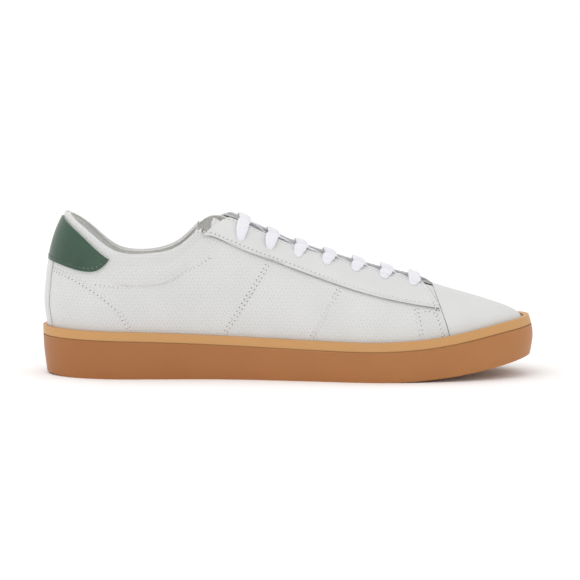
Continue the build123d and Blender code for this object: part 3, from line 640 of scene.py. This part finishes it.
def repeated(name, lines, sample, material, pitch=0.0):
    """One plain mesh of a small piece repeated along lines, or on single points where pitch is 0."""
    mesh = bpy.data.meshes.new(name)
    points, edges, normals = [], [], []
    for line in lines:
        first = len(points)
        points += [tuple(p) for p, _ in line]
        normals += [tuple(n) for _, n in line]
        edges += [(first + i, first + i + 1) for i in range(len(line) - 1)] if pitch else []
    mesh.from_pydata(points, edges, [])
    outward = mesh.attributes.new("outward", "FLOAT_VECTOR", "POINT")
    outward.data.foreach_set("vector", [c for n in normals for c in n])
    piece = bpy.data.objects.new(name, mesh)
    bpy.context.scene.collection.objects.link(piece)
    tree = repeat_tree(name + "_nodes", bool(pitch))
    sockets = {s.name: s.identifier for s in tree.interface.items_tree if s.in_out == "INPUT"}
    modifier = piece.modifiers.new("Repeat", "NODES")
    modifier.node_group = tree
    modifier[sockets["Pitch"]] = pitch * MM
    modifier[sockets["Piece"]] = sample
    modifier[sockets["Material"]] = material
    applied(piece)
    if not piece.data.polygons:
        raise RuntimeError(f"{name} came out empty")
    for face in piece.data.polygons:
        face.use_smooth = True
    return piece


def stitch_sample(length, thickness):
    """One lockstitch: a short thread that rises from its hole and dives into the next."""
    rings = []
    profile = (
        (-0.5, 0.3, -0.55), (-0.42, 0.8, 0.1), (-0.2, 1.0, 0.55), (0.2, 1.0, 0.55), (0.42, 0.8, 0.1),
        (0.5, 0.3, -0.55),
    )
    for t, wide, up in profile:
        middle = Vector((t * length * MM, 0, up * thickness / 2 * MM))
        rings.append([
            middle + Vector((0, math.cos(a), math.sin(a))) * wide * thickness / 2 * MM
            for a in (math.tau * k / 6 for k in range(6))
        ])
    return closed_tube("stitch_sample", rings)


def hole_sample(radius, sides=7):
    """A shallow dark dish, a hair above the leather, that carries a hole's painted shadow."""
    turns = [math.tau * k / sides for k in range(sides)]
    rim = [Vector((math.cos(a), math.sin(a), 0)) * radius * MM for a in turns]
    top = [p + Vector((0, 0, 0.07 * MM)) for p in rim]
    low = [p * 0.8 - Vector((0, 0, 0.1 * MM)) for p in rim]
    return closed_tube("hole_sample", [low, top])


def discard(*pieces):
    for piece in pieces:
        mesh = piece.data
        bpy.data.objects.remove(piece)
        bpy.data.meshes.remove(mesh)


# ---------------------------------------------------------------- settings
class ShoeSettings(bpy.types.PropertyGroup):
    """Colours and trim sizes of the shoe."""

    leather: StringProperty(name="Leather", description="Pigment of the white panels", default="#d5d5d4")
    tab: StringProperty(name="Heel tab", description="Dye of the heel tab", default="#2b5039")
    gum: StringProperty(name="Gum rubber", description="Colour of the sole's wall", default="#a06532")
    lace: StringProperty(name="Lace", description="Bleach of the cotton lace", default="#ececf0")
    hole: StringProperty(name="Perforation", description="Shade inside the punched holes", default="#a2a3a0")
    stitch_pitch: FloatProperty(
        name="Stitch pitch", description="From hole to hole, mm", default=2.7, min=1.5, max=5
    )
    row_gap: FloatProperty(
        name="Row gap", description="Between the rows of a double seam, mm", default=2.0, min=1, max=4
    )
    thread: FloatProperty(
        name="Thread", description="Thickness of the thread, mm", default=0.5, min=0.2, max=1
    )
    perforation_pitch: FloatProperty(
        name="Perforations", description="Pitch of the holes, mm", default=2.2, min=1.5, max=5
    )
    perforation: FloatProperty(
        name="Perforation size", description="Radius, mm", default=0.22, min=0.1, max=0.5
    )
    lace_width: FloatProperty(name="Lace width", description="Flat width, mm", default=7.4, min=5, max=10)
    lace_thickness: FloatProperty(name="Lace thickness", description="mm", default=2.0, min=1, max=3)
    collar_swell: FloatProperty(
        name="Collar swell", description="How far the padding stands out, mm", default=1.3, min=0, max=3
    )


class StageSettings(bpy.types.PropertyGroup):
    """The studio: camera and light."""

    elevation: FloatProperty(name="Camera height", subtype="ANGLE", default=math.radians(7.3))
    distance: FloatProperty(name="Camera distance", unit="LENGTH", default=4.0, min=1, max=10)
    view_width: FloatProperty(name="View width", unit="LENGTH", default=0.3544, min=0.1, max=1)
    key: FloatProperty(name="Key light", description="Power of the overhead softbox, W", default=5.0, min=0)
    fill: FloatProperty(name="Fill light", description="Power of the front softbox, W", default=1.5, min=0)
    floor: StringProperty(name="Floor", description="Colour of the sweep", default="#ffffff")


SETTINGS = ShoeSettings
STAGE = StageSettings
MADE = {}  # finished pieces that later ones lie on


def settings_of(context):
    """Read the property groups once, so that the helpers above see plain values."""
    global SETTINGS, STAGE
    SETTINGS, STAGE = context.scene.court_shoe, context.scene.court_shoe_stage


# ---------------------------------------------------------------- operators
class SHOE_OT_finishes(bpy.types.Operator):
    """Give each panel and layer of the frame its finish"""

    bl_idname = "court_shoe.finishes"
    bl_label = "Finishes"

    def execute(self, context):
        white, textile = white_leather(), lining_textile()
        stiffener = fibreboard("stiffener_nonwoven", "#d8d6cc", "#bdbaae")
        soft = foam("collar_foam_open_cell", "#efeeea", "#dddbd5")
        tape = woven("eyestay_tape_cotton", "#e4e3de", "#c6c5bf", 0.8)
        clear = aglet_film()
        finishes = {
            "cupsole": gum_rubber(),
            "midsole": foam("midsole_eva", "#e6e2d8", "#d0ccc0"),
            "insole_board": fibreboard("insole_board_cellulose", "#dcd0b8", "#bfae8e"),
            "sockliner": sockliner_textile(),
            "heel_tab": green_leather(),
            "collar_foam": soft,
            "tongue_foam": soft,
            "tongue_lining": textile,
            "vamp_lining": textile,
            "quarter_lining": textile,
            "toe_puff": stiffener,
            "heel_counter": stiffener,
            "eyestay_tape_inner": tape,
            "eyestay_tape_outer": tape,
            "aglet_inner": clear,
            "aglet_outer": clear,
        }
        for name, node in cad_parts.items():
            node.data.materials.clear()
            node.data.materials.append(finishes.get(name, white))
        MADE["white"], MADE["textile"] = white, textile
        return {"FINISHED"}


class SHOE_OT_collar(bpy.types.Operator):
    """Pad the collar: the quarter's leather swells over foam and rolls over the rim to the lining"""

    bl_idname = "court_shoe.collar"
    bl_label = "Padded collar"

    front_x = 100.0

    def spokes(self):
        """Plan rays out of the collar's middle, from the inner front round the heel to the outer front."""
        count = 15
        rays = []
        for k in range(count):
            x = self.front_x + (FAN_X - self.front_x) * k / count
            rays.append((x, Vector((station(x), centre_y(x) * MM, 0)), Vector((0, INNER, 0))))
        turns = 20
        for k in range(turns + 1):
            angle = math.pi * k / turns
            course = Vector((-math.sin(angle), -math.cos(angle), 0))
            hub = Vector((station(FAN_X), centre_y(FAN_X) * MM, 0))
            rays.append((FAN_X * (1 - math.sin(angle)), hub, course))
        for k in range(1, count + 1):
            x = FAN_X + (self.front_x - FAN_X) * k / count
            rays.append((x, Vector((station(x), centre_y(x) * MM, 0)), Vector((0, OUTER, 0))))
        return rays

    def rim(self, tree, origin, course):
        """The highest level at which a ray from outside still meets the leather."""
        low, high = 0.055, 0.115
        for _ in range(16):
            level = (low + high) / 2
            low, high = (level, high) if self.meet(tree, origin, course, level) else (low, level)
        return low

    def meet(self, tree, origin, course, level):
        """Where a level ray from outside meets the leather, stepping aside of the open back seam."""
        aside = course.cross(Vector((0, 0, 1)))
        for step in (0.0, 0.4, -0.4):
            start = Vector((origin.x, origin.y, level)) + course * 0.15 + aside * step * MM
            hit = tree.ray_cast(start, -course, 0.149)[0]
            if hit:
                return hit - aside * step * MM
        return None

    def execute(self, context):
        leather_side = surface("quarter_inner", "quarter_outer")
        lining_side = surface("quarter_lining")
        foam_side = surface("collar_foam")
        swell = SETTINGS.collar_swell
        rings = []
        for x, origin, course in self.spokes():
            top = self.rim(leather_side, origin, course)
            open_side = ease(x, 36, 50) * (1 - ease(x, 80, 96))
            depth = (13.5 - 1.5 * ease(x, 70, 100)) * MM
            ring = []
            for t in (1.0, 0.94, 0.8, 0.62, 0.44, 0.28, 0.14, 0.05):
                level = top - depth * t
                hit = self.meet(leather_side, origin, course, level)
                rise = math.sin(math.pi * min(1.12 * (1 - t), 1.0)) ** 0.7 * swell * open_side
                proud = -0.25 if t == 1.0 else 0.02 + rise - 0.3 * (1 - open_side)
                ring.append(hit + course * proud * MM)
            inside = []
            for t in (0.05, 0.2, 0.4, 0.62):
                level = top - 11 * MM * t
                hit = lining_side.ray_cast(Vector((origin.x, origin.y, level)), course)[0]
                if hit is None:
                    hit = ring[-1] - course * 2.5 * MM
                inside.append(hit - course * (0.55 if t < 0.6 else -0.3) * MM)
            # The foam's stray upper edge stands above the leather's rim, so the roll is raised over it.
            crest = max(top, self.rim(foam_side, origin, course) + 0.4 * MM)
            outer_top = ring[-1]
            for across, lift in ((0.12, 0.3), (0.5, 0.8), (0.88, 0.3)):
                over = outer_top.lerp(inside[0], across)
                over.z = crest + lift * MM
                ring.append(over)
            ring += inside
            ring.append(inside[-1] + course * 1.0 * MM)
            middle = sum(ring, Vector()) / len(ring)
            close = 1 - 0.8 * ease(x, self.front_x - 2.5, self.front_x)
            rings.append([middle + (p - middle) * close for p in ring])
        collar = closed_tube("collar_padding", rings)
        modifier = collar.modifiers.new("Round", "SUBSURF")
        modifier.levels = modifier.render_levels = 2
        applied(collar)
        dressed(collar, "shoe", MADE["white"])
        MADE["collar"] = collar
        return {"FINISHED"}


class SHOE_OT_lace(bpy.types.Operator):
    """Lace the shoe: one flat woven lace, criss-crossed through seven pairs of eyelets"""

    bl_idname = "court_shoe.lace"
    bl_label = "Lace"

    def skin(self, x, off):
        """The upper's outer skin at a station and a signed distance off centre, with its normal."""
        side = -1 if off < 0 else 1
        edge = throat_half(x) + 0.8
        if abs(off) >= edge:
            around = [d for d in (abs(off) - 3.2, abs(off) + 3.2) if d > edge]
            hits = [from_above(self.quarters, x, side * d) for d in around]
            hits = [h for h in hits if h]
            if len(hits) == 1:
                here = from_above(self.quarters, x, off)
                hits = [here] if here else hits
            middle = sum((p for p, _ in hits), Vector()) / len(hits)
            return middle, sum((n for _, n in hits), Vector()).normalized()
        if abs(off) < 1:
            point, normal = from_above(self.tongue, x, off)
            return point + normal * TONGUE_DEPTH * MM, normal
        a, b = from_above(self.quarters, x, side * edge), from_above(self.quarters, x, side * (edge + 2.5))
        share = (edge - abs(off)) / 2.5
        return a[0] + (a[0] - b[0]) * share, a[1]

    def knot(self, x, off, height, width, across=(1, 0, 0)):
        """A control point of the lace: place, width and the direction that its flat width takes."""
        point, normal = self.skin(x, off)
        side = Vector(across)
        side = (side - normal * side.dot(normal)).normalized()
        return point + normal * height * MM, side, width

    def half(self, side):
        """From the free end down to the lowest eyelet, on the lace that starts on one side."""
        flat = SETTINGS.lace_width
        top_x = EYELET_FIRST - EYELET_PITCH * (EYELETS - 1)
        crossways = (0, 1, -0.6 * side)
        under = -(LACED_DEPTH + 0.35 + 1.5)
        knots = [
            self.knot(top_x + 96 * share, side * off, under - 0.8, flat * wide, crossways)
            for share, off, wide in (
                (0.97, 32.9, 0.36), (0.78, 32.4, 0.36), (0.74, 32.3, 0.8), (0.45, 31.4, 1), (0.2, 30.6, 1),
                (0.07, 28.4, 0.9),
            )
        ]
        here = side
        for pair in reversed(range(EYELETS)):
            x = EYELET_FIRST - EYELET_PITCH * pair
            off, edge = EYELET_SETBACK + throat_half(x), throat_half(x)
            if pair < EYELETS - 1:
                knots.append(self.knot(x - 2.4, here * (edge + 1.2), under, flat))
            knots.append(self.knot(x - 0.4, here * (off - 0.6), under, 0.7 * flat))
            knots.append(self.knot(x, here * off, -1.0, 0.5 * flat))
            knots.append(self.knot(x, here * (off + 0.5), 1.2, 0.52 * flat))
            knots.append(self.knot(x + 0.2, here * (off - 1.6), 2.8, 0.82 * flat))
            knots.append(self.knot(x + 0.5, here * (off + edge) / 2, 3.0, flat))
            if pair:
                high = (pair % 2 == 0) == (side == INNER)
                knots.append(self.knot(x + 1.6, here * (edge - 0.8), 2.3, flat))
                knots.append(self.knot(x + 4.4, here * edge * 0.55, 0.0 if high else -1.2, 0.95 * flat))
                knots.append(self.knot(x + EYELET_PITCH / 2, 0.0, -0.9 if high else -3.4, 0.95 * flat))
                here = -here
            else:
                knots.append(self.knot(x + 0.8, here * (edge - 0.8), 2.3, flat))
                knots.append(self.knot(x + 1.0, here * edge * 0.45, 0.2, flat))
        return knots

    def execute(self, context):
        self.quarters = surface("quarter_inner", "quarter_outer")
        self.tongue = surface("tongue_face")
        knots = self.half(INNER) + self.half(OUTER)[::-1]
        packed = [Vector((*point, *side, width)) for point, side, width in knots]
        line = curve_through(packed, 1.1 * MM)
        thick = SETTINGS.lace_thickness
        sides = 30
        rings = []
        for i, here in enumerate(line):
            ahead, behind = line[min(i + 1, len(line) - 1)], line[max(i - 1, 0)]
            course = (Vector(ahead[:3]) - Vector(behind[:3])).normalized()
            across = Vector(here[3:6])
            across = (across - course * across.dot(course)).normalized()
            up = course.cross(across)
            width = here[6]
            bunched = thick * (1 + 0.55 * (1 - width / SETTINGS.lace_width))
            ring = []
            for k in range(sides):
                a = math.tau * k / sides
                w = math.cos(a)
                h = math.copysign(abs(math.sin(a)) ** 0.75, math.sin(a))
                rib = 1 + 0.16 * math.cos(math.tau * 2 * w) * (1 - w * w)
                ring.append(Vector(here[:3]) + across * w * width / 2 * MM + up * h * rib * bunched / 2 * MM)
            rings.append(ring)
        lace = closed_tube("woven_lace", rings)
        dressed(lace, "shoe", lace_cotton())
        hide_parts("shoelace")
        return {"FINISHED"}


class SHOE_OT_edges(bpy.types.Operator):
    """Seal the cut edges of the eyestays and the quarters' front with edge paint"""

    bl_idname = "court_shoe.edges"
    bl_label = "Painted edges"

    def execute(self, context):
        quarters = surface("quarter_inner", "quarter_outer")
        fronts = surface("vamp", "quarter_inner", "quarter_outer")
        paint = painted_edge()
        strips = []
        for side, word in SIDES:
            along = laid(quarters, shifted(STAY_EDGE, -0.15), side, 0.8)
            strips.append(bead(f"stay_{word}", along, 0.75, 1.25))
            strips.append(bead(f"front_{word}", laid(fronts, VAMP_SEAM[1:], side, 0.0), 0.4, 0.25))
            across = laid_from_above(fronts, [(x + 0.1, off) for x, off in STAY_FRONT], side, 0.75)
            strips.append(bead(f"stay_front_{word}", across, 0.7, 1.2))
        dressed(joined("painted_edges", strips), "shoe", paint)
        return {"FINISHED"}


class SHOE_OT_stitching(bpy.types.Operator):
    """Sew the seams: thread and needle holes along every row"""

    bl_idname = "court_shoe.stitching"
    bl_label = "Stitching"

    def rows(self):
        """Every row of the upper as a list of (point, normal)."""
        panels = surface(
            "quarter_inner", "quarter_outer", "vamp", "eyestay_inner", "eyestay_outer", "heel_tab",
            "back_strip",
            extra=[MADE["collar"]],
        )
        gap = SETTINGS.row_gap
        rows = []
        for side, _ in SIDES:
            rows.append(laid(panels, COLLAR_SEAM, side))
            for seam in (HEEL_SEAM, MIDDLE_SEAM, FORE_SEAM, TOE_SEAM):
                rows.append(laid(panels, shifted(seam, gap / 2), side))
                rows.append(laid(panels, shifted(seam, -gap / 2), side))
            rows.append(laid(panels, BOX_SEAM, side))
            rows.append(laid(panels, QUARTER_FRONT, side))
            rows.append(laid(panels, shifted(STAY_EDGE, 1.9), side))
            rows.append(laid_from_above(panels, [(x - 2.1, off) for x, off in STAY_FRONT[1:]], side))
            throat = [
                (x, throat_half(x) + 2.0)
                for x in (THROAT_FIRST + (THROAT_LAST - THROAT_FIRST) * k / 8 for k in range(9))
            ]
            rows.append(laid_from_above(panels, throat, side))
        return [row for row in rows if len(row) > 3]

    def tab_rows(self):
        tab = surface("heel_tab")
        return [laid(tab, shifted(TAB_EDGE, 2.0), side) for side, _ in SIDES]

    def tongue_rows(self):
        face = surface("tongue_face")
        share = (TONGUE_ROOT_WIDTH - TONGUE_TOP_WIDTH) / (TONGUE_ROOT - TONGUE_TOP)
        rows = []
        for side, _ in SIDES:
            stations = [
                (x, (TONGUE_TOP_WIDTH + share * (x - TONGUE_TOP)) / 2 - 4.5)
                for x in (TONGUE_TOP + 12 + 18 * k for k in range(7))
            ]
            rows.append(laid_from_above(face, stations, side))
        return [row for row in rows if len(row) > 3]

    def execute(self, context):
        pitch = SETTINGS.stitch_pitch
        stitch = stitch_sample(pitch * 0.82, SETTINGS.thread)
        hole = hole_sample(0.42)
        thread, dark = thread_polyester("white", "#e4e4e2"), needle_hole()
        green = thread_polyester("green", "#35573f")
        seams = (
            ("upper", self.rows(), "shoe", thread), ("tab", self.tab_rows(), "shoe", green),
            ("tongue", self.tongue_rows(), "tongue", thread),
        )
        for name, rows, body, thread in seams:
            between = [self.half_step(row, pitch) for row in rows]
            sewn = repeated(f"{name}_stitches", rows, stitch, thread, pitch)
            dressed(sewn, body, thread)
            pricked = repeated(f"{name}_needle_holes", between, hole, dark, pitch)
            dressed(pricked, body, dark)
        discard(stitch, hole)
        return {"FINISHED"}

    def half_step(self, row, pitch):
        """The same row begun and ended half a pitch further in, so that holes fall between stitches."""
        drop = max(round(pitch / 2), 1)
        return row[drop:-drop] if len(row) > 2 * drop + 2 else row


class SHOE_OT_perforations(bpy.types.Operator):
    """Punch the quarters all over with fine holes"""

    bl_idname = "court_shoe.perforations"
    bl_label = "Perforations"

    def execute(self, context):
        leather_side = surface("quarter_inner", "quarter_outer", extra=[MADE["collar"]])
        covers = surface(
            "eyestay_inner", "eyestay_outer", "heel_tab", "back_strip", "cupsole", "shoelace", "vamp"
        )
        pitch = SETTINGS.perforation_pitch
        spots = []
        columns, rows = int(246 / pitch), int(84 / pitch)
        for side, _ in SIDES:
            for i in range(columns):
                for j in range(rows):
                    x = 4 + (i + 0.5 * (j % 2) + 0.16 * math.sin(12.9 * i + 7.7 * j)) * pitch
                    z = 22 + (0.9 * j + 0.16 * math.sin(4.1 * i + 9.3 * j)) * pitch
                    start, course = Vector((station(x), side * 0.2, z * MM)), Vector((0, -side, 0))
                    hit = leather_side.ray_cast(start, course)
                    cover = covers.ray_cast(start, course)
                    if hit[0] is None or (cover[0] is not None and cover[3] < hit[3] + 0.4 * MM):
                        continue
                    normal = hit[1] if hit[1].dot(course) < 0 else -hit[1]
                    if normal.dot(course) > -0.3 or hit[0].y * side < 0:
                        continue
                    spots.append((hit[0], normal))
        hole = hole_sample(SETTINGS.perforation, 6)
        shade = punched_hole()
        punched = repeated("quarter_perforations", [spots], hole, shade)
        dressed(punched, "shoe", shade)
        discard(hole)
        return {"FINISHED"}


class SHOE_OT_tongue(bpy.types.Operator):
    """Bind the tongue's edge with folded leather"""

    bl_idname = "court_shoe.tongue"
    bl_label = "Tongue binding"

    def execute(self, context):
        face = surface("tongue_face")
        share = (TONGUE_ROOT_WIDTH - TONGUE_TOP_WIDTH) / (TONGUE_ROOT - TONGUE_TOP)
        corner = 12.0
        outline = []
        for x in (214, 190, 166, 142, 122):
            outline.append((x, -((TONGUE_TOP_WIDTH + share * (x - TONGUE_TOP)) / 2 - 1.2)))
        for k in range(7):
            angle = math.pi / 2 * k / 6
            half = TONGUE_TOP_WIDTH / 2 - 1.2
            off = half - corner + corner * math.cos(angle)
            outline.append((TONGUE_TOP + 1.2 + corner * (1 - math.sin(angle)), -off))
        outline += [(x, -off) for x, off in reversed(outline[:-1])]
        line = []
        for p in curve_through([Vector((*s, 0)) for s in outline], 1.5):
            hit = from_above(face, p.x, p.y)
            if hit:
                line.append((hit[0] - hit[1] * 2.2 * MM, hit[1]))
        binding = bead("tongue_binding", line, 2.6, 5.0, 12)
        dressed(binding, "tongue", MADE["white"])
        return {"FINISHED"}


class SHOE_OT_stage(bpy.types.Operator):
    """Set the pale floor, the soft studio light and the camera"""

    bl_idname = "court_shoe.stage"
    bl_label = "Stage"

    def softbox(self, name, place, size, power):
        lamp = bpy.data.lights.new(name, "AREA")
        lamp.shape = "RECTANGLE"
        lamp.size, lamp.size_y = size
        lamp.energy = power
        box = bpy.data.objects.new(name, lamp)
        box.location = place
        box.rotation_euler = (Vector((0, 0, 0.04)) - box.location).to_track_quat("-Z", "Y").to_euler()
        bpy.context.scene.collection.objects.link(box)

    def execute(self, context):
        scene = context.scene
        reach = 6.0
        corners = [(-reach, -reach, 0), (reach, -reach, 0), (reach, reach, 0), (-reach, reach, 0)]
        floor = new_piece("floor", corners, [(0, 1, 2, 3)])
        paper = bpy.data.materials.new("paper_sweep")
        paper.use_nodes = True
        shader = paper.node_tree.nodes["Principled BSDF"]
        shader.inputs["Base Color"].default_value = linear(STAGE.floor)
        shader.inputs["Roughness"].default_value = 0.95
        floor.data.materials.append(paper)
        world = bpy.data.worlds.new("studio")
        scene.world = world
        world.use_nodes = True
        world.node_tree.nodes["Background"].inputs["Color"].default_value = (1, 1, 1, 1)
        world.node_tree.nodes["Background"].inputs["Strength"].default_value = 1.0
        self.softbox("overhead", (-0.5, -0.3, 1.6), (1.6, 1.2), STAGE.key)
        self.softbox("front", (-0.7, -1.8, 0.7), (1.2, 0.9), STAGE.fill)
        lens = bpy.data.cameras.new("camera")
        lens.sensor_width = 36.0
        lens.lens = 36.0 * STAGE.distance / STAGE.view_width
        lens.clip_end = 50.0
        camera = bpy.data.objects.new("camera", lens)
        aim = Vector((1.4 * MM, 0.0, 50.4 * MM))
        back = Vector((0, -math.cos(STAGE.elevation), math.sin(STAGE.elevation)))
        camera.location = aim + back * STAGE.distance
        camera.rotation_euler = (-back).to_track_quat("-Z", "Y").to_euler()
        scene.collection.objects.link(camera)
        scene.camera = camera
        scene.view_settings.view_transform = "Standard"
        return {"FINISHED"}


class SHOE_PT_panel(bpy.types.Panel):
    """The shoe's steps, in order"""

    bl_idname = "SHOE_PT_panel"
    bl_label = "Court shoe"
    bl_space_type = "VIEW_3D"
    bl_region_type = "UI"
    bl_category = "Court shoe"

    def draw(self, context):
        for step in STEPS:
            self.layout.operator(step.bl_idname)


STEPS = (
    SHOE_OT_stage, SHOE_OT_finishes, SHOE_OT_collar, SHOE_OT_lace, SHOE_OT_edges, SHOE_OT_stitching,
    SHOE_OT_perforations, SHOE_OT_tongue,
)
CLASSES = (ShoeSettings, StageSettings, *STEPS, SHOE_PT_panel)


def register():
    for kind in CLASSES:
        bpy.utils.register_class(kind)
    bpy.types.Scene.court_shoe = PointerProperty(type=ShoeSettings)
    bpy.types.Scene.court_shoe_stage = PointerProperty(type=StageSettings)


def unregister():
    del bpy.types.Scene.court_shoe_stage
    del bpy.types.Scene.court_shoe
    for kind in reversed(CLASSES):
        bpy.utils.unregister_class(kind)


def main():
    register()
    settings_of(bpy.context)
    for step in STEPS:
        group, name = step.bl_idname.split(".")
        getattr(getattr(bpy.ops, group), name)()


if __name__ == "__main__":
    main()
